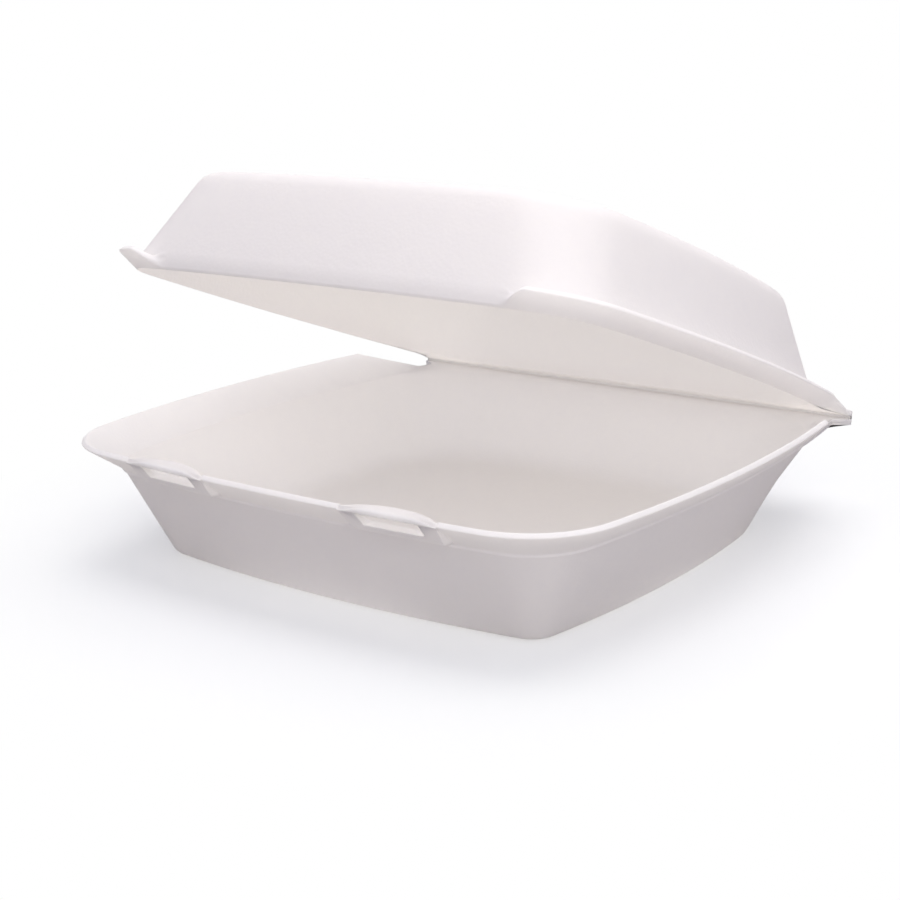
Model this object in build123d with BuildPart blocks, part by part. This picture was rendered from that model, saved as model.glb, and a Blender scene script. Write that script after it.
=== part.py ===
"""Foam clamshell container: a tray and a lid formed from one sheet, joined by a straight crease at the back.

The frame is in millimetres. X runs along the hinge crease, the locks are at -Y, the crease is at +Y,
and the tray's underside stands on Z = 0. The lid is drawn shut and then turned open about the crease.
"""
import os
from collections import namedtuple
from math import hypot

from build123d import *

os.makedirs("parts", exist_ok=True)

# Foam sheet, clearances and the opening of the lid
sheet = 2.2                # thickness of the foam
nest_gap = 0.65            # space across the sheet between the two flanges when the lid is shut
crease_gap = 0.2           # distance of each leaf's back edge, and of the tray's shelf, from the hinge axis
lid_lift = 0.6             # distance of the shut lid's shelf from the hinge axis
lid_angle = 20.0           # how far the lid stands open

# Heights
hinge_height = 37.3        # hinge axis above the table
flange_rise = 8.4          # outer edge of the tray's flange above the hinge axis
lid_flange_rise = 6.0      # outer edge of the lid's flange above the hinge axis, lid shut
shut_height = 77.7         # top of the shut lid above the table

# An outline has a front and a back corner on each side, bowed edges between them and rounded corners.
Outline = namedtuple("Outline", "front_half back_half front_y back_y front_bow side_bow back_bow front_round back_round")

hinge_half = 107.0         # half the length of the hinge crease
hinge_y = 110.0            # hinge axis behind the middle of the tray
hinge_round = 2.0
foot_half = 84.3
foot_depth = 82.3
foot_bow = 6.8
foot_side_bow = 7.8
foot_round = 9.0
foot_back_round = 44.0
shelf_half = 99.8
shelf_front = 98.7
shelf_bow = 5.7
shelf_side_bow = 8.9
shelf_round = 25.0
rim_half = 109.5
rim_back_half = 108.3
rim_front = 111.7
rim_bow = 5.8
rim_side_bow = 11.55
rim_round = 34.0
roof_half = 84.7
roof_front = 86.7
roof_back = 90.3
roof_bow = 6.1
roof_side_bow = 9.3
roof_round = 29.8
roof_back_round = 47.4
leaf_back = hinge_y - crease_gap
foot = Outline(
    foot_half, foot_half, -foot_depth, foot_depth, foot_bow, foot_side_bow, foot_bow, foot_round, foot_back_round
)
shelf = Outline(
    shelf_half, shelf_half, -shelf_front, leaf_back, shelf_bow, shelf_side_bow, 0, shelf_round, hinge_round
)
rim = Outline(rim_half, rim_back_half, -rim_front, leaf_back, rim_bow, rim_side_bow, 0, rim_round, hinge_round)
lid_top = Outline(
    roof_half, roof_half, -roof_front, roof_back, roof_bow, roof_side_bow, roof_bow, roof_round, roof_back_round
)

wall_step = 0.7            # how far the flange's fold stands out from the wall under it
back_wall_round = 35.5     # corner radius of the wall where it meets the level shelf beside the hinge
back_wall_inset = 6.0      # how far the wall's back edge lies in front of the hinge axis

# Flange ends beside the hinge: the flange falls to the shelf between these two places
tray_fall_start = 67.0
tray_fall_end = 101.0
lid_fall_start = 92.0
lid_fall_end = 107.0

# Level tabs at the ends of the crease, on both leaves
tab_root_half = 98.0       # half the distance between the roots of the tabs
tab_root_depth = 5.7       # depth of a tab at its root
tab_tip_depth = 1.4        # depth of a tab at its tip

# Two locks in the tray's front flange
lock_x = 49.4              # middle of each lock from the middle of the tray
pocket_top_half = 18.8     # half length of the pocket at the rim
pocket_foot_half = 17.4    # half length of the pocket at its floor
pocket_lift = 1.1          # floor of the pocket above the flange's fold
pocket_stand = 0.4         # share of the way from the fold out to the rim at which the pocket's front starts
pocket_round = 3.0
slot_half = 12.0           # half length of the slot through the pocket's front
slot_height = 4.6
lug_half = 19.3            # half length of the lug over the slot
lug_reach = 6.0            # how far the lug reaches in from its ends
lid_gap_half = 72.5        # half the length of the lid's front edge that has no flange
lid_gap_slant = 6.5        # how much longer that stretch is at the flange's outer edge


def inset(shape, distance, back_round=None):
    """The same outline moved inwards by a distance."""
    return shape._replace(
        front_half=shape.front_half - distance,
        back_half=shape.back_half - distance,
        front_y=shape.front_y + distance,
        back_y=shape.back_y - distance,
        front_round=max(shape.front_round - distance, sheet),
        back_round=max(shape.back_round - distance, crease_gap) if back_round is None else back_round,
    )


def between(low, high, share):
    """The outline that lies the given share of the way from one outline to another."""
    return Outline(*(a + (b - a) * share for a, b in zip(low, high)))


def draw(shape, height):
    """A filled sketch of an outline at a height."""
    s = shape
    middle_y = (s.front_y + s.back_y) / 2
    side_x = (s.front_half + s.back_half) / 2 + s.side_bow
    with BuildSketch(Plane.XY.offset(height)) as filled:
        with BuildLine():
            ThreePointArc((-s.front_half, s.front_y), (0, s.front_y - s.front_bow), (s.front_half, s.front_y))
            ThreePointArc((s.front_half, s.front_y), (side_x, middle_y), (s.back_half, s.back_y))
            if s.back_bow > 0:
                ThreePointArc((s.back_half, s.back_y), (0, s.back_y + s.back_bow), (-s.back_half, s.back_y))
            else:
                Line((s.back_half, s.back_y), (-s.back_half, s.back_y))
            ThreePointArc((-s.back_half, s.back_y), (-side_x, middle_y), (-s.front_half, s.front_y))
        make_face()
        fillet(filled.vertices().group_by(Axis.Y)[-1], s.back_round)
        fillet(filled.vertices().group_by(Axis.Y)[0], s.front_round)
    return filled.sketch


# Levels of the tray
shelf_top = hinge_height - crease_gap
shelf_foot = shelf_top - sheet
fold_height = hinge_height - crease_gap - sheet / 2
rim_height = hinge_height + flange_rise
flare = rim.front_half - shelf.front_half
flange_height = rim_height - fold_height
flange_length = hypot(flare, flange_height)
across = sheet * flange_length / flange_height
edge_in = sheet * flange_height / flange_length
edge_up = sheet * flare / flange_length
rim_top = rim_height + edge_up
gap_across = nest_gap * flange_length / flange_height

# Outlines worked out from the driving ones
wall_top = inset(shelf, wall_step, back_wall_round)._replace(back_y=hinge_y - back_wall_inset)
shelf_inside = between(shelf, rim, (shelf_top - fold_height) / flange_height)
shelf_inside = inset(shelf_inside, across)
wall_inside = shelf_inside._replace(back_y=wall_top.back_y - sheet, back_round=back_wall_round - sheet)
foot_inside = inset(foot, sheet / 2)
rim_inside = inset(rim, edge_in)


def fall(start, high, end, low):
    """The space over a flange that falls to the shelf beside the hinge, as a profile looking along X."""
    far = hinge_y + hinge_half
    with BuildSketch(Plane.YZ) as profile:
        Polygon(
            (start, high), (end, low), (far, low), (far, high + far), (start, high + far), align=None
        )
    return profile.sketch


# Space taken out above the tray's flange, beside the hinge
with BuildPart() as tray_fall:
    extrude(fall(tray_fall_start, rim_top, tray_fall_end, shelf_top), amount=hinge_half * 2, both=True)


def lock_profile(margin):
    """The pockets of both locks, looking along Y, with their ends moved in by a margin."""
    floor = fold_height + pocket_lift + margin
    with BuildSketch(Plane.XZ) as profile:
        for x in (-lock_x, lock_x):
            with BuildLine():
                Polyline(
                    (x - pocket_top_half + margin, rim_top),
                    (x - pocket_foot_half + margin, floor),
                    (x + pocket_foot_half - margin, floor),
                    (x + pocket_top_half - margin, rim_top),
                    close=True,
                )
            make_face()
        fillet(profile.vertices().group_by(Axis.Z)[0], pocket_round)
    return profile.sketch


# Outside and inside of the two pockets, whose fronts lean out to the rim less than the flange does
pocket_foot = between(shelf, rim, pocket_stand)
pocket_head = between(pocket_foot, rim, (rim_top - fold_height) / flange_height)
pocket_lean = pocket_foot.front_y - rim.front_y
pocket_across = sheet * hypot(pocket_lean, flange_height) / flange_height
with BuildPart() as pockets:
    extrude(lock_profile(0), amount=-rim.front_y + rim.front_bow)
    loft([draw(pocket_foot, fold_height), draw(rim, rim_height)], ruled=True, mode=Mode.INTERSECT)
with BuildPart() as pocket_hollows:
    extrude(lock_profile(sheet), amount=-rim.front_y + rim.front_bow)
    loft(
        [draw(inset(pocket_foot, pocket_across), fold_height), draw(inset(pocket_head, pocket_across), rim_top)],
        ruled=True, mode=Mode.INTERSECT,
    )

# The rim is cut level over each pocket, and a slot goes through the pocket's front under the lug
lug_foot = rim_top - sheet
lug_root = rim.front_y - rim.front_bow / 2
with BuildPart() as lock_cuts:
    with Locations(*[(x, rim.front_y, rim_height) for x in (-lock_x, lock_x)]):
        Box(pocket_top_half * 2, flare * 2, flange_height, align=(Align.CENTER, Align.CENTER, Align.MIN))
    with Locations(*[(x, rim.front_y, lug_foot) for x in (-lock_x, lock_x)]):
        Box(slot_half * 2, flare * 2, slot_height, align=(Align.CENTER, Align.CENTER, Align.MAX))

# The lugs: level crescents that reach in from the rim over each slot
with BuildPart() as lugs:
    with BuildSketch(Plane.XY.offset(lug_foot)):
        for x in (-lock_x, lock_x):
            with BuildLine():
                ThreePointArc((x - lug_half, lug_root), (x, lug_root + lug_reach), (x + lug_half, lug_root))
                Polyline(
                    (x + lug_half, lug_root), (x + lug_half, lug_root - rim.front_bow),
                    (x - lug_half, lug_root - rim.front_bow), (x - lug_half, lug_root),
                )
            make_face()
    extrude(amount=sheet)
    extrude(draw(rim, rim_height - sheet), amount=sheet * 3, mode=Mode.INTERSECT)


def tabs(height):
    """A strip along the crease at a height, with tapered tabs at its ends."""
    root_y = leaf_back - tab_root_depth
    tip_y = leaf_back - tab_tip_depth
    with BuildSketch(Plane.XY.offset(height)) as strip:
        Polygon(
            (-hinge_half, leaf_back), (-hinge_half, tip_y), (-tab_root_half, root_y),
            (tab_root_half, root_y), (hinge_half, tip_y), (hinge_half, leaf_back), align=None,
        )
    return strip.sketch


# Tray: drafted wall, level shelf at the back corners, flared flange and the two locks
with BuildPart() as tray:
    loft([draw(foot, 0), draw(wall_top, shelf_foot)], ruled=True)
    extrude(draw(shelf, shelf_foot), amount=fold_height - shelf_foot)
    loft([draw(shelf, fold_height), draw(rim, rim_height)], ruled=True)
    loft([draw(rim, rim_height), draw(rim_inside, rim_top)], ruled=True)
    add(pockets.part)
    loft([draw(foot_inside, sheet), draw(wall_inside, shelf_top)], ruled=True, mode=Mode.SUBTRACT)
    loft([draw(shelf_inside, shelf_top), draw(rim_inside, rim_top)], ruled=True, mode=Mode.SUBTRACT)
    add(pocket_hollows.part, mode=Mode.SUBTRACT)
    add(lock_cuts.part, mode=Mode.SUBTRACT)
    add(tray_fall.part, mode=Mode.SUBTRACT)
    add(lugs.part)
    extrude(tabs(shelf_foot), amount=sheet)
tray.part.label = "tray"
export_step(tray.part, "parts/tray.step")

# Levels of the shut lid
lid_fold = hinge_height + lid_lift
lid_shelf_top = lid_fold + sheet
lid_edge = hinge_height + lid_flange_rise


def nested(height, distance):
    """The outline at a height inside the tray's flange, set in by the sheet, the nesting gap and a distance."""
    on_flange = between(shelf, rim, (height - fold_height) / flange_height)
    return inset(on_flange, across + gap_across + distance, on_flange.back_round)._replace(
        back_y=on_flange.back_y - distance
    )


under_fold = nested(lid_fold, 0)
under_edge = nested(lid_edge, 0)
over_edge = inset(under_edge, edge_in)
over_shelf = nested(lid_shelf_top, across)
dome_back = hinge_y - back_wall_inset
dome_foot = inset(under_fold, -sheet, back_wall_round)._replace(back_y=dome_back)
dome_inside = inset(under_fold, crease_gap, back_wall_round - sheet)._replace(back_y=dome_back - sheet)
dome_roof = inset(lid_top, sheet / 2)

# Lid flange: a level shelf at the back corners and a flared edge that is left out along the front
with BuildPart() as lid_fall:
    extrude(fall(lid_fall_start, lid_edge + edge_up, lid_fall_end, lid_shelf_top), amount=hinge_half * 2, both=True)
with BuildPart() as lid_front_gap:
    with BuildSketch(Plane.XZ.offset(-under_fold.front_y - flare)):
        Polygon(
            (-lid_gap_half, lid_fold), (lid_gap_half, lid_fold),
            (lid_gap_half + lid_gap_slant, lid_edge + sheet), (-lid_gap_half - lid_gap_slant, lid_edge + sheet),
            align=None,
        )
    extrude(amount=flare * 4)
with BuildPart() as lid_flange:
    loft([draw(under_fold, lid_fold), draw(under_edge, lid_edge)], ruled=True)
    loft([draw(under_edge, lid_edge), draw(over_edge, lid_edge + edge_up)], ruled=True)
    loft([draw(over_shelf, lid_shelf_top), draw(over_edge, lid_edge + edge_up)], ruled=True, mode=Mode.SUBTRACT)
    add(lid_fall.part, mode=Mode.SUBTRACT)
    add(lid_front_gap.part, mode=Mode.SUBTRACT)

# The dome's foot keeps inside the face that nests in the tray's flange
with BuildPart() as dome_room:
    loft([draw(under_fold, lid_fold), draw(under_edge, lid_edge)], ruled=True)
    extrude(draw(under_edge, lid_edge), amount=shut_height)

# The hollow of the dome, which goes on below the fold so that the lid is open underneath
with BuildPart() as dome_hollow:
    extrude(draw(dome_inside, lid_fold - sheet), amount=sheet)
    loft([draw(dome_inside, lid_fold), draw(dome_roof, shut_height - sheet)], ruled=True)

# Lid: drafted dome on the flange, hollow from below
with BuildPart() as shut_lid:
    loft([draw(dome_foot, lid_fold), draw(lid_top, shut_height)], ruled=True)
    add(dome_room.part, mode=Mode.INTERSECT)
    add(lid_flange.part)
    add(dome_hollow.part, mode=Mode.SUBTRACT)
    extrude(tabs(lid_fold), amount=sheet)

# The lid as it stands, open about the hinge crease
hinge_axis = Axis((0, hinge_y, hinge_height), (1, 0, 0))
with BuildPart() as lid:
    add(shut_lid.part.rotate(hinge_axis, -lid_angle))
lid.part.label = "lid"
export_step(lid.part, "parts/lid.step")
print("tray", tray.part.volume, len(tray.part.solids()), "lid", lid.part.volume, len(lid.part.solids()))
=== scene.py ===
"""Foam clamshell container: a tray and a lid of one white foam sheet, joined by a pressed crease."""
import math
from collections import namedtuple

import bmesh
import bpy
import numpy as np
from mathutils import Matrix, Vector


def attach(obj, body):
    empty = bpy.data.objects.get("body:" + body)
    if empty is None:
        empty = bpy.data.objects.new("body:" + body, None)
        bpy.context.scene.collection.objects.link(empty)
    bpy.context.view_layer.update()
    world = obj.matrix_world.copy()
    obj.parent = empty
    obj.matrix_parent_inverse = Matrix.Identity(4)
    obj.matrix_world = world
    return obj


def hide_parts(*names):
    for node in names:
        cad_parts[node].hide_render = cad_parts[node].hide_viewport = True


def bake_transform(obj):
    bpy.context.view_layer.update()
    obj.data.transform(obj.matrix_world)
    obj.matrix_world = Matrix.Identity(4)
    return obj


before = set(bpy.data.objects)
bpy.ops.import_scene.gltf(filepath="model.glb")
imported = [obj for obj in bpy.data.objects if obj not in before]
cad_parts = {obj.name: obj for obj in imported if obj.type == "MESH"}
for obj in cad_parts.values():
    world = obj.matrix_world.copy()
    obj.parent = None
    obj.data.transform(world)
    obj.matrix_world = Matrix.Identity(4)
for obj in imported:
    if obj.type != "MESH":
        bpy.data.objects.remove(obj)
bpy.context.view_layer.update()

MM = 0.001

# Sizes are in millimetres, and heights are those of the shut container.
# Foam sheet, clearances and the opening of the lid
sheet = 2.2                # thickness of the foam
nest_gap = 0.65            # space across the sheet between the two flanges when the lid is shut
crease_gap = 0.2           # distance of each leaf's back edge, and of the tray's shelf, from the hinge axis
lid_lift = 0.6             # distance of the shut lid's shelf from the hinge axis
lid_angle = 20.0           # how far the lid stands open, in degrees

# Hinge, heights and walls
hinge_height = 37.3        # hinge axis above the table
hinge_y = 110.0            # hinge axis behind the middle of the tray
hinge_half = 107.0         # half the length of the crease
leaf_back = hinge_y - crease_gap
rim_height = 45.7          # lower corner of the tray's rim
lid_edge = 43.3            # lower corner of the lid's flange
shut_height = 77.7         # top of the lid
wall_step = 0.7            # step from the tray's wall out to its flange
inner_step = 0.2           # the same step inside the tray
inner_drop = 0.4           # height of the bend between shelf and wall, inside both leaves
back_wall_round = 35.5     # round of the walls' corners beside the hinge
back_wall_inset = 6.0      # back walls in front of the hinge axis

# Ends of the flanges, which fall to the hinge and go over into tabs at the ends of the crease
tray_fall_start = 67.0
tray_fall_end = 101.0
lid_fall_start = 92.0
lid_fall_end = 107.0
tab_root_depth = 5.7       # the tray's tab starts this far in front of the back edge
lid_tab_depth = 12.0       # the lid's tab starts this far in front of the back edge
tab_tip_depth = 1.4        # a tab has its full length from here to the back edge
tab_stretch = 14.0         # length of the back edge's end that is drawn out into a tab
tab_ramp = 10.0            # length over which the pull on that end grows to its full strength
tab_edge = 0.7             # least height of a flange's edge above its fold, at the tabs

# Locks and the ears beside them
lock_x = 49.4              # middle of a lock, to each side of the container's middle
pocket_top_half = 18.8
pocket_foot_half = 17.4
pocket_lift = 1.1          # underside of a pocket above the fold of the flange
pocket_stand = 0.4         # share of the way from the fold out to the rim at which a pocket's front starts
slot_half = 12.0
slot_height = 4.6
lug_half = 19.3
lug_reach = 6.0            # how far a lug reaches in from the rim
ear_start = 73.0           # the lid's flange starts here beside the plain front
ear_end = 83.0             # and has its full width from here
front_limit = -60.0        # columns of points in front of this are on the front edge

# An outline has a front and a back corner on each side, bowed edges between them and rounded corners
Outline = namedtuple(
    "Outline", "front_half back_half front_y back_y front_bow side_bow back_bow front_round back_round"
)
foot = Outline(84.3, 84.3, -82.3, 82.3, 6.8, 7.8, 6.8, 9.0, 44.0)
shelf = Outline(99.8, 99.8, -98.7, leaf_back, 5.7, 8.9, 0, 25.0, 2.0)
rim = Outline(109.5, 108.3, -111.7, leaf_back, 5.8, 11.55, 0, 34.0, 2.0)
lid_top = Outline(84.7, 84.7, -86.7, 90.3, 6.1, 9.3, 6.1, 29.8, 47.4)
straight_bow = 0.002       # a straight edge is drawn as a very flat arc


def inset(shape, distance, back_round=None):
    """The same outline moved inwards by a distance."""
    return shape._replace(
        front_half=shape.front_half - distance,
        back_half=shape.back_half - distance,
        front_y=shape.front_y + distance,
        back_y=shape.back_y - distance,
        front_round=max(shape.front_round - distance, sheet),
        back_round=max(shape.back_round - distance, crease_gap) if back_round is None else back_round,
    )


def between(low, high, share):
    """The outline that lies the given share of the way from one outline to another."""
    return Outline(*(a + (b - a) * share for a, b in zip(low, high)))


def circle_through(a, b, c):
    """Centre and radius of the circle through three points."""
    (ax, ay), (bx, by), (cx, cy) = a, b, c
    a2, b2, c2 = ax * ax + ay * ay, bx * bx + by * by, cx * cx + cy * cy
    d = 2 * (ax * (by - cy) + bx * (cy - ay) + cx * (ay - by))
    ux = (a2 * (by - cy) + b2 * (cy - ay) + c2 * (ay - by)) / d
    uy = (a2 * (cx - bx) + b2 * (ax - cx) + c2 * (bx - ax)) / d
    return np.array([ux, uy]), math.hypot(ax - ux, ay - uy)


def corner_round(one, two, radius, corner):
    """Centre of the round that touches two bowed edges inside a corner."""
    (c1, r1), (c2, r2) = one, two
    a, b = r1 - radius, r2 - radius
    d = c2 - c1
    length = np.hypot(*d)
    along = (a * a - b * b + length * length) / (2 * length)
    side = math.sqrt(max(a * a - along * along, 0))
    u = d / length
    n = np.array([-u[1], u[0]])
    return min((c1 + along * u + s * side * n for s in (-1, 1)), key=lambda p: np.hypot(*(p - corner)))


def arc_points(centre, radius, start, end, count):
    """Points along the shorter arc of a circle from one point to another."""
    a0 = math.atan2(*(start - centre)[::-1])
    turn = (math.atan2(*(end - centre)[::-1]) - a0 + math.pi) % (2 * math.pi) - math.pi
    angles = a0 + turn * np.linspace(0, 1, count)
    return centre + radius * np.stack([np.cos(angles), np.sin(angles)], 1)


def half_line(shape):
    """The right half of an outline as a fine line from the front middle to the back middle."""
    s = shape
    front_corner = np.array([s.front_half, s.front_y])
    back_corner = np.array([s.back_half, s.back_y])
    front_mid = np.array([0, s.front_y - s.front_bow])
    back_mid = np.array([0, s.back_y + max(s.back_bow, straight_bow)])
    side_mid = ((s.front_half + s.back_half) / 2 + s.side_bow, (s.front_y + s.back_y) / 2)
    front = circle_through(front_corner * [-1, 1], front_mid, front_corner)
    side = circle_through(front_corner, side_mid, back_corner)
    back = circle_through(back_corner, back_mid, back_corner * [-1, 1])
    f = corner_round(front, side, s.front_round, front_corner)
    b = corner_round(side, back, s.back_round, back_corner)
    touches = [
        c + (p - c) / np.hypot(*(p - c)) * r
        for (c, r), p in ((front, f), (side, f), (side, b), (back, b))
    ]
    parts = [
        arc_points(*front, front_mid, touches[0], 160),
        arc_points(f, s.front_round, touches[0], touches[1], 80),
        arc_points(*side, touches[1], touches[2], 200),
        arc_points(b, s.back_round, touches[2], touches[3], 80),
        arc_points(*back, touches[3], back_mid, 120),
    ]
    return np.concatenate([parts[0]] + [p[1:] for p in parts[1:]])


def columns(shape, marks, counts):
    """Points round the right half of an outline, evenly spread between marks.

    A mark is an x along the front, a y along the side, or a lean of the line in degrees.
    """
    line = half_line(shape)
    steps = np.diff(line, axis=0)
    run = np.concatenate([[0], np.cumsum(np.hypot(*steps.T))])
    lean = np.degrees(np.arctan2(steps[:, 1], steps[:, 0]))
    places = [0]
    for kind, value in marks:
        axis = {"x": 0, "y": 1}.get(kind)
        if axis is None:
            i, share = int(np.argmax(lean >= value)), 0
        else:
            i = int(np.argmax(line[:, axis] >= value))
            share = (value - line[i - 1, axis]) / (line[i, axis] - line[i - 1, axis])
        places.append(run[i - 1] + (run[i] - run[i - 1]) * share)
    places.append(run[-1])
    at = [0]
    for start, end, count in zip(places, places[1:], counts):
        at.extend(np.linspace(start, end, count + 1)[1:])
    return np.stack([np.interp(at, run, line[:, 0]), np.interp(at, run, line[:, 1])], 1)


def outward(line):
    """The outward direction at each point of a half outline."""
    tangent = np.gradient(line, axis=0)
    return np.stack([tangent[:, 1], -tangent[:, 0]], 1) / np.hypot(*tangent.T)[:, None]


def to_tab(line, half, depth):
    """Draws the end of an outline out along the crease into a tab that starts at the given depth."""
    root = np.clip((line[:, 1] - leaf_back + depth) / (depth - tab_tip_depth), 0, 1)
    outer = np.clip((line[:, 0] - half + tab_stretch) / tab_ramp, 0, 1)
    return line + np.stack([root * outer * (hinge_half - half), 0 * root], 1)


def at_height(points, z):
    """Outline points with a height, one for all or one for each."""
    return np.column_stack([points, np.broadcast_to(z, len(points))])


def ease(share):
    """A smooth step from 0 to 1."""
    share = np.clip(share, 0, 1)
    return share * share * (3 - 2 * share)


bend_share = 0.46          # share of the way to the next corner that a bend may take up
bend_points = 5


def rounded(corners):
    """A line with soft bends for each column. A corner is a line of points, its height and its bend."""
    points = [at_height(line, height) for line, height, bend in corners]
    out = [points[0]]
    for last, here, following, (line, height, bend) in zip(points, points[1:], points[2:], corners[1:]):
        before, after = last - here, following - here
        length_before, length_after = np.linalg.norm(before, axis=1), np.linalg.norm(after, axis=1)
        reach = np.minimum(np.minimum(bend, bend_share * length_before), bend_share * length_after)
        a = here + before * (reach / length_before)[:, None]
        b = here + after * (reach / length_after)[:, None]
        for t in np.linspace(0, 1, bend_points):
            out.append((1 - t) ** 2 * a + 2 * t * (1 - t) * here + t * t * b)
    out.append(points[-1])
    return np.stack(out, axis=1)


def both_halves(half):
    """The right half's columns with the left half's, mirrored, after them."""
    return np.concatenate([half, half[-2:0:-1] * [-1, 1, 1]])


def skin(name, ring):
    """A closed smooth skin over rings of points, around by levels by 3, with a middle point at each end."""
    n, levels = ring.shape[:2]
    points = np.concatenate([ring.transpose(1, 0, 2).reshape(-1, 3), ring[:, [0, -1]].mean(0)])
    around = [(i, (i + 1) % n) for i in range(n)]
    starts = range(0, levels * n - n, n)
    faces = [(k + i, k + j, k + n + j, k + n + i) for k in starts for i, j in around]
    faces += [(levels * n, j, i) for i, j in around]
    faces += [(levels * n + 1, levels * n - n + i, levels * n - n + j) for i, j in around]
    mesh = bpy.data.meshes.new(name)
    mesh.from_pydata((points * MM).tolist(), [], faces)
    shell = bmesh.new()
    shell.from_mesh(mesh)
    bmesh.ops.recalc_face_normals(shell, faces=shell.faces)
    shell.to_mesh(mesh)
    shell.free()
    mesh.polygons.foreach_set("use_smooth", [True] * len(mesh.polygons))
    piece = bpy.data.objects.new(name, mesh)
    bpy.context.scene.collection.objects.link(piece)
    return piece


# Levels and slopes of the tray's flange
shelf_top = hinge_height - crease_gap
shelf_foot = shelf_top - sheet
fold_height = shelf_top - sheet / 2
flare = rim.front_half - shelf.front_half
flange_height = rim_height - fold_height
flange_length = math.hypot(flare, flange_height)
across = sheet * flange_length / flange_height
edge_in = sheet * flange_height / flange_length
edge_up = sheet * flare / flange_length
gap_across = nest_gap * flange_length / flange_height
rim_top = rim_height + edge_up
lug_foot = rim_top - sheet
pocket_lean = (shelf.front_y - rim.front_y) * (1 - pocket_stand)
pocket_across = sheet * math.hypot(pocket_lean, flange_height) / flange_height

# Outlines of the tray's walls
wall_top = inset(shelf, wall_step, back_wall_round)._replace(back_y=hinge_y - back_wall_inset)
shelf_inside = inset(between(shelf, rim, (shelf_top - fold_height) / flange_height), across)
wall_inside = inset(shelf_inside, inner_step, back_wall_round - sheet)
wall_inside = wall_inside._replace(back_y=wall_top.back_y - sheet)
foot_inside = inset(foot, sheet / 2)

# Columns of points: the middle of each corner as a lean, and where the long side starts
front_corner_lean = 45
back_corner_lean = 135
side_start = -40.0
tab_margin = 0.6           # the close columns of a tab start this far in front of it
pocket_margin = 1.0        # and those of a pocket this far beside it
slot_end = 0.4             # length of the bend at each end of a slot
centre_share = 0.05        # the innermost ring of a floor or roof, as a share of its outline
middle_share = 0.5         # the ring half way out

# Marks at the ends of the lock pockets and slots, with the columns up to each
lock_ends = [slot_half, slot_half + slot_end, pocket_foot_half, pocket_top_half]
lock_ends.append(pocket_top_half + pocket_margin)
lock_marks = [("x", lock_x + x) for x in [-end for end in reversed(lock_ends)] + lock_ends]
lock_counts = [12, 2, 6, 2, 1, 14, 1, 2, 6, 2]


def tray_line(shape, at_crease=False):
    """Columns round the tray. Outlines that reach the crease have more columns at its tabs."""
    tab = [("y", leaf_back - tab_root_depth - tab_margin)] if at_crease else []
    sides = [("lean", front_corner_lean), ("y", side_start), ("y", tray_fall_start)]
    marks = lock_marks + sides + tab + [("lean", back_corner_lean)]
    return columns(shape, marks, lock_counts + [14, 16, 40] + ([22, 14] if at_crease else [36]) + [30])


# Corner points of the tray's flange, which bends softly between them
edge_drops = (1.6, 0.8)    # two points on its underside, below the rim
tab_levels = (0.25, 0.45)  # their least height above the fold, at the tabs
inner_shares = (0.3, 0.6)  # two points on its inside, as shares of the way up to the rim
least_edge = 0.05          # share of the rim's width that is left at the tabs
point_gap = 0.05           # height between two points on the bend of a pocket
sill_gaps = (0.4, 0.3)     # a pocket's points lie at least this far below the sill of its slot
pocket_ends = (1.0, 0.4)   # a pocket's outside and inside run out this far below the rim
on_edge = 0.01             # a column this near to a pocket's or a slot's end belongs to it
not_front = 1000.0         # distance from a lock that a column off the front edge counts as


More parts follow.
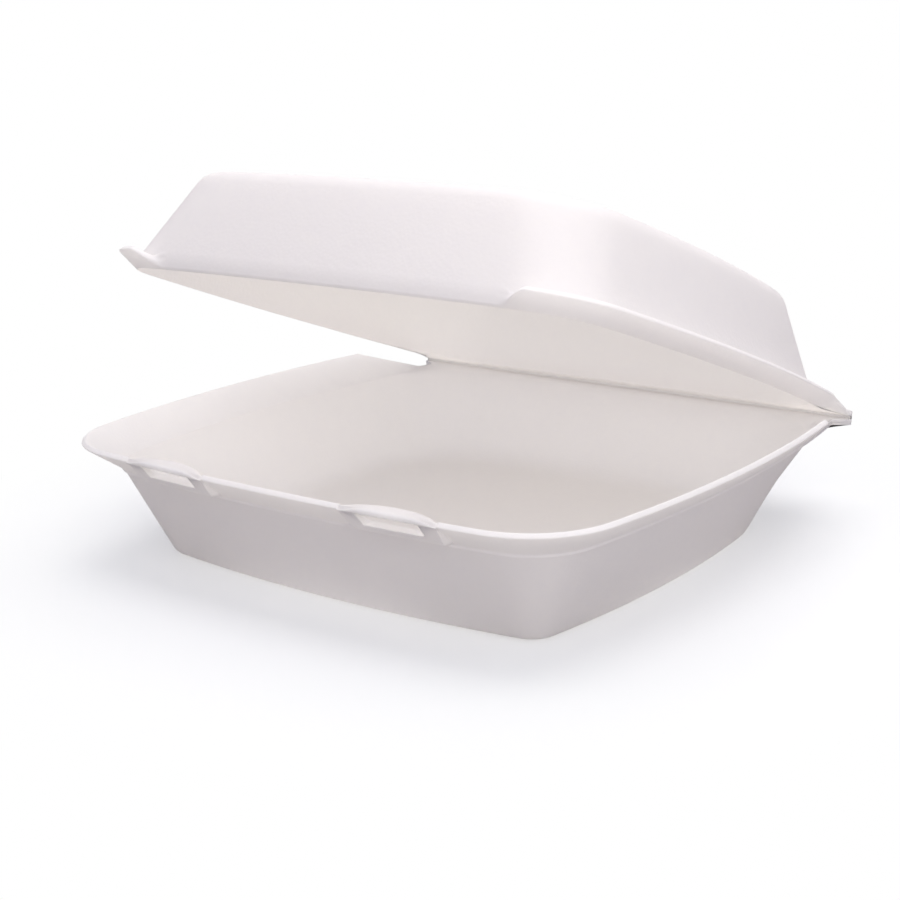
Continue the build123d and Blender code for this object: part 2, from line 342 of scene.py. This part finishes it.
def tray_piece():
    """The tray's skin, from the middle of its underside over the rim to the middle of its floor."""
    rim_line, shelf_line, inside_line = (tray_line(shape, True) for shape in (rim, shelf, shelf_inside))
    rim_outward = outward(rim_line)
    fall_slope = (rim_top - shelf_top) / (tray_fall_end - tray_fall_start)
    top = np.clip(shelf_top + (tray_fall_end - shelf_line[:, 1]) * fall_slope, shelf_top, rim_top)
    share = np.clip((top - edge_up - fold_height) / flange_height, 0, 1)
    high = (top - shelf_top) / (rim_top - shelf_top)

    def on_flange(z):
        return shelf_line + (rim_line - shelf_line) * ((z - fold_height) / flange_height)[:, None]

    def on_pocket(z):
        stand = pocket_stand + (1 - pocket_stand) * (z - fold_height) / flange_height
        return shelf_line + (rim_line - shelf_line) * stand[:, None]

    def inside(line, distance):
        return line - rim_outward * np.broadcast_to(distance, len(line))[:, None]

    def tab(line):
        return to_tab(line, shelf.back_half, tab_root_depth)

    # Pockets: the columns in them go out level and then up to the rim, less slanted than the flange
    off = np.where(shelf_line[:, 1] < front_limit, np.abs(rim_line[:, 0] - lock_x), not_front)
    pocket = off < pocket_top_half + on_edge
    slot = off < slot_half + on_edge
    in_pocket = pocket[:, None]

    def pocket_level(start, foot_half, end):
        """Level up to the half width of the pocket's foot, and then up to the end height at its top."""
        return start + np.clip((off - foot_half) / (pocket_top_half - pocket_foot_half), 0, 1) * (end - start)

    pocket_foot = fold_height + pocket_lift
    floor_z = pocket_level(pocket_foot, pocket_foot_half, rim_height - pocket_ends[0])
    hollow_z = pocket_level(pocket_foot + sheet, pocket_foot_half - sheet, rim_height - pocket_ends[1])

    # The rim's two corners, which lie at the slot's sill where there is a slot
    rim_z = fold_height + np.maximum(share * flange_height, tab_edge)
    rim_z = np.where(slot, lug_foot - slot_height, rim_z)
    rim_out = np.where(in_pocket, on_pocket(rim_z), on_flange(fold_height + share * flange_height))
    over = np.where(pocket, 0, np.maximum(edge_up * high, shelf_top - rim_z))
    rim_in = inside(rim_out, np.where(pocket, pocket_across, edge_in * np.maximum(high, least_edge)))

    # Two points on the outside of the flange or pocket
    flange_a, flange_b = (
        fold_height + np.maximum(share * (flange_height - drop), least)
        for drop, least in zip(edge_drops, tab_levels)
    )
    under_a = np.where(pocket, np.minimum(floor_z + point_gap, rim_z - sill_gaps[0]), flange_a)
    under_b = np.where(pocket, np.minimum(floor_z, rim_z - sill_gaps[1]), flange_b)
    edge_a = on_flange(under_a)
    edge_b = np.where(in_pocket, on_pocket(under_b), on_flange(under_b))

    # Two points on the inside
    rise = rim_z + over - shelf_top
    hollow_z = np.minimum(hollow_z, rim_z - sill_gaps[1])
    inner_a = np.where(pocket, hollow_z - point_gap, shelf_top + rise * inner_shares[0])
    inner_b = np.where(pocket, hollow_z, shelf_top + rise * inner_shares[1])
    slope = np.where(pocket, (inner_a - shelf_top) / (rim_top - shelf_top), inner_shares[0])[:, None]
    hollow_a = inside_line + (np.where(in_pocket, inside(rim_line, edge_in), rim_in) - inside_line) * slope
    flange_inside = inside_line + (rim_in - inside_line) * inner_shares[1]
    hollow_b = np.where(in_pocket, inside(on_pocket(inner_b), pocket_across), flange_inside)

    under, floor = tray_line(foot), tray_line(foot_inside)
    return skin("tray_foam", both_halves(rounded([
        (under * centre_share, 0, 0),
        (under * middle_share, 0, 1.0),
        (under, 0, 3.0),
        (tray_line(wall_top), shelf_foot, 0.3),
        (tab(shelf_line), shelf_foot, 0.15),
        (tab(shelf_line), fold_height, 0.8),
        (tab(edge_a), under_a, 0.6),
        (tab(edge_b), under_b, np.where(pocket, 1.8, 0.9)),
        (tab(rim_out), rim_z, 0.7),
        (tab(rim_in), rim_z + over, 0.7),
        (hollow_b, inner_b, 0.9),
        (hollow_a, inner_a, 0.8),
        (inside_line, shelf_top, 1.2),
        (tray_line(wall_inside), shelf_top - inner_drop, 2.0),
        (floor, sheet, 10.0),
        (floor * middle_share, sheet, 1.0),
        (floor * centre_share, sheet, 0),
    ])))


tray_foam = tray_piece()
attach(tray_foam, "tray")
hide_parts("tray")

# Levels and outlines of the shut lid
lid_fold = hinge_height + lid_lift
lid_shelf_top = lid_fold + sheet


def nested(height, distance):
    """The outline at a height inside the tray's flange, set in by the sheet, the gap and a distance."""
    on_flange = between(shelf, rim, (height - fold_height) / flange_height)
    set_in = inset(on_flange, across + gap_across + distance, on_flange.back_round)
    return set_in._replace(back_y=on_flange.back_y - distance)


under_fold = nested(lid_fold, 0)
under_edge = nested(lid_edge, 0)
over_shelf = nested(lid_shelf_top, across)
dome_back = hinge_y - back_wall_inset
dome_foot = inset(under_fold, -sheet, back_wall_round)._replace(back_y=dome_back)
dome_inside = inset(under_fold, crease_gap, back_wall_round - sheet)._replace(back_y=dome_back - sheet)
dome_roof = inset(lid_top, sheet / 2)

# Columns of points round the lid
ear_lean = 23              # the line's lean where an ear has gone over into the corner
side_middle = 30.0         # the back part of the side starts here
ear_margin = 1.0           # the close columns of an ear start this far beside it
round_margin = 4.0         # and at least this far beside the corner's round


def lid_line(shape, at_crease=False):
    """Columns round the lid, close together where the flange ends in ears at the front."""
    start = min(ear_start - ear_margin, shape.front_half - shape.front_round - round_margin)
    tab = [("y", leaf_back - lid_tab_depth - tab_margin)] if at_crease else []
    corner = [("x", start), ("lean", ear_lean), ("lean", front_corner_lean)]
    marks = corner + [("y", side_start), ("y", side_middle)] + tab + [("lean", back_corner_lean)]
    return columns(shape, marks, [24, 16, 8, 16, 30] + ([24, 14] if at_crease else [38]) + [30])


# Corner points of the lid's flange and of the plain lip along its front
lip_share = 0.12           # height of the lip's lower edge, as a share of the flange's height
lip_rises = (1.6, 3.8, 6.0)    # three points up the outside of the lip
lip_draw = 0.25            # the lip's lowest outside point is drawn in by this
wall_probe = 3.0           # height up the dome's wall over which its slant is taken
least_run = 1.0            # least width of the flange's upper side
most_climb = 0.9           # the dome's wall leaves the flange at most this share of the way up
valley_drop = 0.1          # the valley lies at least this far below the flange's upper edge
wall_lift = 0.3            # height of the bend from the valley into the wall


def lid_piece():
    """The lid's skin, from the middle of its ceiling under the flange and up to the middle of its roof."""
    fold_line, edge_line, base_line = (lid_line(s, True) for s in (under_fold, under_edge, over_shelf))
    edge_outward = outward(edge_line)
    to_full = (fold_line[:, 0] - ear_start) / (ear_end - ear_start)
    flange = np.where(fold_line[:, 1] < front_limit, ease(to_full), 1)
    share = np.clip((lid_fall_end - fold_line[:, 1]) / (lid_fall_end - lid_fall_start), 0, 1)
    low = lip_share * (1 - flange) + share * flange
    lower = fold_line + (edge_line - fold_line) * low[:, None]
    lower_z = lid_fold + np.maximum(low * (lid_edge - lid_fold), tab_edge)
    upper = lower - edge_outward * (edge_in * share)[:, None]
    upper_z = lower_z + edge_up * share + (sheet - tab_edge) * (1 - share)

    def wall_line(z):
        return lid_line(between(dome_foot, lid_top, (z - lid_fold) / (shut_height - lid_fold)))

    # The valley between flange and dome lies where the dome's wall comes out of the flange
    wall, raised = wall_line(lid_shelf_top), wall_line(lid_shelf_top + wall_probe)
    top = edge_line - edge_outward * edge_in
    run = np.maximum(((top - base_line) * edge_outward).sum(1), least_run)
    climb = np.clip(((wall - base_line) * edge_outward).sum(1) / run, 0, most_climb)
    valley_z = lid_shelf_top + climb * (lid_edge + edge_up - lid_shelf_top)
    valley_z = np.minimum(valley_z, np.maximum(upper_z - valley_drop, lid_shelf_top))
    valley = base_line + (top - base_line) * climb[:, None]
    wall_z = valley_z + wall_lift
    wall_base = wall + (raised - wall) * ((wall_z - lid_shelf_top) / wall_probe)[:, None]

    # Along the front the wall ends in a plain lip, which goes over into the ears
    def ear(lip, full):
        weight = flange[:, None] if np.ndim(lip) == 2 else flange
        return lip * (1 - weight) + full * weight

    def up_wall(height):
        return wall + (raised - wall) * height / wall_probe, np.full(len(wall), lid_shelf_top + height)

    lips = [up_wall(height) for height in lip_rises]
    upper, upper_z = ear(lips[0][0] - outward(wall) * lip_draw, upper), ear(lips[0][1], upper_z)
    valley, valley_z = ear(lips[1][0], valley), ear(lips[1][1], valley_z)
    wall_base, wall_z = ear(lips[2][0], wall_base), ear(lips[2][1], wall_z)

    def tab(line, depth=lid_tab_depth):
        return to_tab(line, under_fold.back_half, depth)

    # The flange's edge runs straight out to the tab's tip while it falls
    end_depth = leaf_back - lid_fall_start
    lip_bend = 0.8 + 0.8 * (1 - flange)
    ceiling, roof = lid_line(dome_roof), lid_line(lid_top)
    piece = skin("lid_foam", both_halves(rounded([
        (ceiling * centre_share, shut_height - sheet, 0),
        (ceiling * middle_share, shut_height - sheet, 1.0),
        (ceiling, shut_height - sheet, 5.0),
        (lid_line(dome_inside), lid_fold + inner_drop, 0.3),
        (tab(fold_line), lid_fold, 0.5),
        (tab(lower, end_depth), lower_z, lip_bend),
        (tab(upper, end_depth), upper_z, lip_bend),
        (valley, valley_z, 0.8),
        (wall_base, wall_z, 0.6),
        (roof, shut_height, 5.0),
        (roof * middle_share, shut_height, 1.0),
        (roof * centre_share, shut_height, 0),
    ])))
    hinge = Vector((0, hinge_y, hinge_height)) * MM
    opened = Matrix.Rotation(math.radians(-lid_angle), 4, "X")
    piece.data.transform(Matrix.Translation(hinge) @ opened @ Matrix.Translation(-hinge))
    return piece


lid_foam = lid_piece()
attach(lid_foam, "lid")
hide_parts("lid")

# Levels of a lug, each with how far its edge is drawn in and its height above the lug's foot
lug_columns = 41
lug_levels = ((1.4, 0), (0.3, 0.25), (0, 0.7), (0, sheet - 0.7), (0.3, sheet - 0.2), (1.4, sheet))
most_draw = 0.45           # share of the lug's width that its edge may be drawn in by
inner_tip = 0.8            # height of the lug's inner edge at its tips, as a share of the sheet
outer_rise = 1.2           # how fast the outer edge rises from the tips
inner_rise = 2.0           # and the inner edge


def lug_piece(name, middle):
    """A level crescent that reaches in from the rim over a slot, with soft edges. Its tips meet the rim."""
    spread = np.linspace(-1, 1, lug_columns)
    bulge = 1 - spread ** 2
    outer_tip = (rim_height - lug_foot) / sheet
    outer_share = outer_tip + (1 - outer_tip) * ease(outer_rise * bulge)
    inner_share = inner_tip + (1 - inner_tip) * ease(inner_rise * bulge)
    levels = []
    for draw, z in lug_levels:
        x = middle + spread * (lug_half - draw)
        outer = rim.front_y - rim.front_bow * (1 - (x / rim.front_half) ** 2)
        inner = outer + edge_in + lug_reach * bulge
        pull = np.minimum(draw, (inner - outer) * most_draw)
        edge = np.concatenate([np.stack([x, outer + pull], 1), np.stack([x, inner - pull], 1)[::-1]])
        levels.append(at_height(edge, lug_foot + z * np.concatenate([outer_share, inner_share[::-1]])))
    piece = skin(name, np.stack(levels, 1))
    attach(piece, "tray")
    return piece


lugs = [lug_piece("lock_lug_left", -lock_x), lug_piece("lock_lug_right", lock_x)]

crease_skin = 0.5          # thickness of the pressed foam at the crease
crease_inset = 0.4         # the crease ends this far inside the tabs
crease_columns = 25


def crease_piece():
    """The thin pressed skin that joins the two leaves behind their shelves, bent to the lid's set opening."""
    turn = math.radians(lid_angle)

    def opened(y, z):
        return y * math.cos(turn) + z * math.sin(turn), z * math.cos(turn) - y * math.sin(turn)

    # Middle line as (y, z) from the axis, from inside the tray's shelf round to inside the lid's shelf
    in_tray = [(-1.8, -1.0), (-0.8, -0.8), (-0.1, -0.45), (0.1, 0)]
    in_lid = [opened(-0.1, 0.75), opened(-0.8, 1.2), opened(-1.8, 1.5)]
    path = np.array(in_tray + in_lid)
    tangent = np.gradient(path, axis=0)
    normal = np.stack([-tangent[:, 1], tangent[:, 0]], 1) / np.hypot(*tangent.T)[:, None] * crease_skin / 2
    loop = np.concatenate([path + normal, (path - normal)[::-1]]) + [hinge_y, hinge_height]
    places = np.linspace(crease_inset - hinge_half, hinge_half - crease_inset, crease_columns)
    levels = [np.column_stack([np.full(len(loop), x), loop]) for x in places]
    piece = skin("hinge_crease", np.stack(levels, 1))
    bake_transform(piece)
    return piece


crease = crease_piece()


def linear(code):
    """A hex sRGB colour as linear values with full cover."""
    values = [int(code[i:i + 2], 16) / 255 for i in (0, 2, 4)]
    return [v / 12.92 if v <= 0.04045 else ((v + 0.055) / 1.055) ** 2.4 for v in values] + [1]


def node(tree, kind, settings=None, inputs=None):
    """Adds a node with its settings, and sets or links its inputs."""
    made = tree.nodes.new(kind)
    for key, value in (settings or {}).items():
        setattr(made, key, value)
    for key, value in (inputs or {}).items():
        if isinstance(value, bpy.types.NodeSocket):
            tree.links.new(value, made.inputs[key])
        else:
            made.inputs[key].default_value = value
    return made


def foam_material():
    """Heat-formed expanded polystyrene: a matt white skin of fine closed cells that lets light through."""
    cell_mm, cell_depth_mm, mottle_mm = 1.3, 0.15, 5.0
    light_through = 0.5
    material = bpy.data.materials.new("white_polystyrene_foam_sheet")
    material.use_nodes = True
    tree = material.node_tree
    tree.nodes.clear()
    place = node(tree, "ShaderNodeTexCoord").outputs["Object"]
    cells = node(tree, "ShaderNodeTexVoronoi", {"feature": "SMOOTH_F1"}, {
        "Vector": place, "Scale": 1 / (cell_mm * MM), "Smoothness": 0.6,
    })
    mottle = node(tree, "ShaderNodeTexNoise", None, {
        "Vector": place, "Scale": 1 / (mottle_mm * MM), "Detail": 4.0, "Roughness": 0.65,
    })
    tone = node(tree, "ShaderNodeMix", {"data_type": "RGBA"}, {
        "Factor": mottle.outputs["Fac"], 6: linear("f2f1f6"), 7: linear("faf9fa"),
    })
    bump = node(tree, "ShaderNodeBump", None, {
        "Height": cells.outputs["Distance"], "Strength": 0.3, "Distance": cell_depth_mm * MM,
    })
    surface = node(tree, "ShaderNodeBsdfPrincipled", None, {
        "Base Color": tone.outputs[2], "Normal": bump.outputs["Normal"],
        "Roughness": 0.72, "IOR": 1.45, "Specular IOR Level": 0.25,
    })
    through = node(tree, "ShaderNodeBsdfTranslucent", None, {
        "Color": linear("fffcf8"), "Normal": bump.outputs["Normal"],
    })
    both = node(tree, "ShaderNodeMixShader", None, {
        0: light_through, 1: surface.outputs["BSDF"], 2: through.outputs["BSDF"],
    })
    node(tree, "ShaderNodeOutputMaterial", None, {"Surface": both.outputs[0]})
    return material


foam = foam_material()
for piece in [tray_foam, lid_foam, *lugs, crease]:
    piece.data.materials.append(foam)


def seen_directly(tree):
    """1 for rays from the camera, also by way of gloss or glass, and 0 for light on the container."""
    ray = node(tree, "ShaderNodeLightPath").outputs
    seen = ray["Is Camera Ray"]
    for kind in ("Is Glossy Ray", "Is Transmission Ray"):
        seen = node(tree, "ShaderNodeMath", {"operation": "MAXIMUM"}, {0: seen, 1: ray[kind]}).outputs[0]
    return seen


def paper_material():
    """Matt white paper. It shows the container's shadow and goes over into plain white away from it.

    The light that it throws back on the container is white under the tray and dim blue further out.
    """
    # Distances from the middle of the tray, in metres
    white_start, white_end = 0.11, 0.23
    dim_start, dim_end = 0.085, 0.115
    least_white = 0.4
    material = bpy.data.materials.new("white_paper_floor")
    material.use_nodes = True
    tree = material.node_tree
    tree.nodes.clear()
    place = node(tree, "ShaderNodeTexCoord").outputs["Object"]
    away = node(tree, "ShaderNodeVectorMath", {"operation": "LENGTH"}, {0: place}).outputs["Value"]
    far = node(tree, "ShaderNodeMapRange", {"interpolation_type": "SMOOTHSTEP"}, {
        "Value": away, "From Min": white_start, "From Max": white_end, "To Min": least_white,
    })
    near = node(tree, "ShaderNodeBsdfDiffuse", None, {"Color": linear("f8f8f8")})
    glow = node(tree, "ShaderNodeEmission", None, {"Color": linear("ffffff"), "Strength": 1.0})
    shown = node(tree, "ShaderNodeMixShader", None, {
        0: far.outputs["Result"], 1: near.outputs[0], 2: glow.outputs[0],
    })
    outside = node(tree, "ShaderNodeMapRange", {"interpolation_type": "SMOOTHSTEP"}, {
        "Value": away, "From Min": dim_start, "From Max": dim_end,
    })
    dim = node(tree, "ShaderNodeMix", {"data_type": "RGBA"}, {
        "Factor": outside.outputs["Result"], 6: linear("f8f8f8"), 7: linear("34385e"),
    })
    bounce = node(tree, "ShaderNodeBsdfDiffuse", None, {"Color": dim.outputs[2]})
    surface = node(tree, "ShaderNodeMixShader", None, {
        0: seen_directly(tree), 1: bounce.outputs[0], 2: shown.outputs[0],
    })
    node(tree, "ShaderNodeOutputMaterial", None, {"Surface": surface.outputs[0]})
    return material


def paper_floor():
    """A wide sheet of paper just under the tray."""
    half, drop = 6.0, 0.0003
    mesh = bpy.data.meshes.new("floor")
    corners = [(-half, -half, 0), (half, -half, 0), (half, half, 0), (-half, half, 0)]
    mesh.from_pydata(corners, [], [(0, 1, 2, 3)])
    floor = bpy.data.objects.new("floor", mesh)
    bpy.context.scene.collection.objects.link(floor)
    floor.location.z = -drop
    mesh.materials.append(paper_material())


def studio_world():
    """Even cool light from all round, which the camera sees as white."""
    world = bpy.data.worlds.new("studio")
    bpy.context.scene.world = world
    world.use_nodes = True
    tree = world.node_tree
    tree.nodes.clear()
    room = node(tree, "ShaderNodeBackground", None, {"Color": linear("c8d0fa"), "Strength": 0.36})
    white = node(tree, "ShaderNodeBackground", None, {"Color": linear("ffffff"), "Strength": 1.0})
    sky = node(tree, "ShaderNodeMixShader", None, {
        0: seen_directly(tree), 1: room.outputs[0], 2: white.outputs[0],
    })
    node(tree, "ShaderNodeOutputWorld", None, {"Surface": sky.outputs[0]})


def direction(azimuth, elevation):
    """Unit vector from the container to a place in the room, in degrees round from the front and up."""
    a, e = math.radians(azimuth), math.radians(elevation)
    return Vector((math.sin(a) * math.cos(e), -math.cos(a) * math.cos(e), math.sin(e)))


def lamp(name, azimuth, elevation, size, watts):
    """A square soft box of slightly warm light that faces the container, with its sizes in metres."""
    distance, aim_height = 1.3, 0.05
    light = bpy.data.lights.new(name, "AREA")
    light.shape = "SQUARE"
    light.size = size
    light.energy = watts
    light.color = linear("fffcf7")[:3]
    holder = bpy.data.objects.new(name, light)
    back = direction(azimuth, elevation)
    holder.location = Vector((0, 0, aim_height)) + back * distance
    holder.rotation_euler = back.to_track_quat("Z", "Y").to_euler()
    bpy.context.scene.collection.objects.link(holder)


def photo_camera():
    """Camera at the photograph's angle. The focal length and the picture's middle are in its pixels."""
    azimuth, elevation, roll = 36.17, 16.44, math.radians(-0.96)
    distance, aim_height = 632.37 * MM, 20.0 * MM
    picture, focal_length, middle_x, middle_y = 900, 1627.77, 475.81, 484.0
    sensor = 36
    back = direction(azimuth, elevation)
    right = Vector((math.cos(math.radians(azimuth)), math.sin(math.radians(azimuth)), 0))
    up = back.cross(right)
    across_picture = right * math.cos(roll) + up * math.sin(roll)
    up_picture = -right * math.sin(roll) + up * math.cos(roll)
    eye = Vector((0, 0, aim_height)) + back * distance
    camera = bpy.data.objects.new("camera", bpy.data.cameras.new("camera"))
    axes = Matrix((across_picture, up_picture, back)).transposed()
    camera.matrix_world = Matrix.Translation(eye) @ axes.to_4x4()
    camera.data.sensor_width = sensor
    camera.data.lens = focal_length / picture * sensor
    camera.data.shift_x = (picture / 2 - middle_x) / picture
    camera.data.shift_y = (middle_y - picture / 2) / picture
    bpy.context.scene.collection.objects.link(camera)
    bpy.context.scene.camera = camera


paper_floor()
studio_world()
lamp("key_soft_box", azimuth=44, elevation=28, size=0.9, watts=8.4)
lamp("top_soft_box", azimuth=175, elevation=78, size=1.2, watts=13.8)
photo_camera()
bpy.context.scene.view_settings.view_transform = "Standard"
